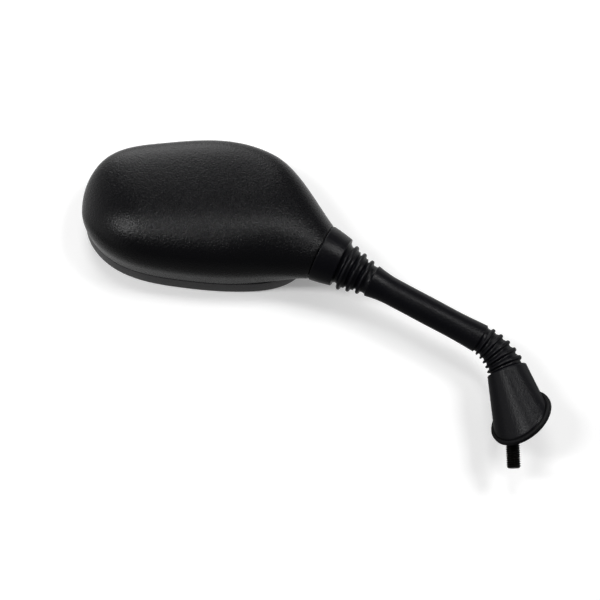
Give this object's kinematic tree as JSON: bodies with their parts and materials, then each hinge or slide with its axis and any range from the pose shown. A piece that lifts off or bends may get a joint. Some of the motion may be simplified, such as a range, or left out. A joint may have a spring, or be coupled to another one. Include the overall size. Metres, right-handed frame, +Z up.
{
  "type": "motorcycle mirror",
  "caption": "Black motorcycle or scooter mirror: rounded teardrop head on a ball joint, bent steel stem in a ribbed rubber boot with an oblique base and threaded stud.",
  "frame": {"origin": "where the stud's axis crosses the underside of the oblique base pad", "axes": "+Z up along the stud's axis, away from its tip; +Y the way the glass faces; the head reaches out along -X"},
  "size_m": [0.2714, 0.0478, 0.1979],
  "materials": {
    "housing_plastic": "black, moulded with a fine grain",
    "rim_plastic": "black, moulded, a little lighter",
    "mirror_glass": "polished mirror glass",
    "foam": "closed-cell foam",
    "backing_plastic": "moulded",
    "socket_nylon": "natural nylon",
    "cup_nylon": "natural nylon",
    "zinc_steel": "zinc plated",
    "spring_steel": "plain wire",
    "black_steel": "black, slightly oily",
    "boot_rubber": "black, satin",
    "pad_rubber": "dark grey, matte"
  },
  "bodies": {
    "stem": {"stem": "black_steel", "lock_nut": "zinc_steel", "nut_washer": "zinc_steel", "boot": "boot_rubber", "base_pad": "pad_rubber"},
    "inner_cup": {"inner_cup": "cup_nylon"},
    "outer_cup": {"outer_cup": "cup_nylon"},
    "head": {"housing_shell": "housing_plastic", "front_rim": "rim_plastic", "mirror_glass": "mirror_glass", "glass_pad": "foam", "backing_plate": "backing_plastic", "ball_socket": "socket_nylon", "clamp_plate": "zinc_steel", "clamp_screws": "zinc_steel", "clamp_spring_1": "spring_steel", "clamp_spring_2": "spring_steel", "clamp_spring_3": "spring_steel"}
  },
  "joints": [
    {"name": "head_twist", "type": "hinge", "parent": "stem", "child": "inner_cup", "pos_m": [-0.12553, 0, 0.11141], "axis": [0.8746, 0, -0.4848], "range_deg": [-20, 20], "deforming": ["boot"]},
    {"name": "head_nod", "type": "hinge", "parent": "inner_cup", "child": "outer_cup", "pos_m": [-0.12553, 0, 0.11141], "axis": [0, 1, 0], "range_deg": [-10, 10], "deforming": ["boot"]},
    {"name": "head_swing", "type": "hinge", "parent": "outer_cup", "child": "head", "pos_m": [-0.12553, 0, 0.11141], "axis": [0.4848, 0, 0.8746], "range_deg": [-10, 10], "deforming": ["boot"]}
  ]
}
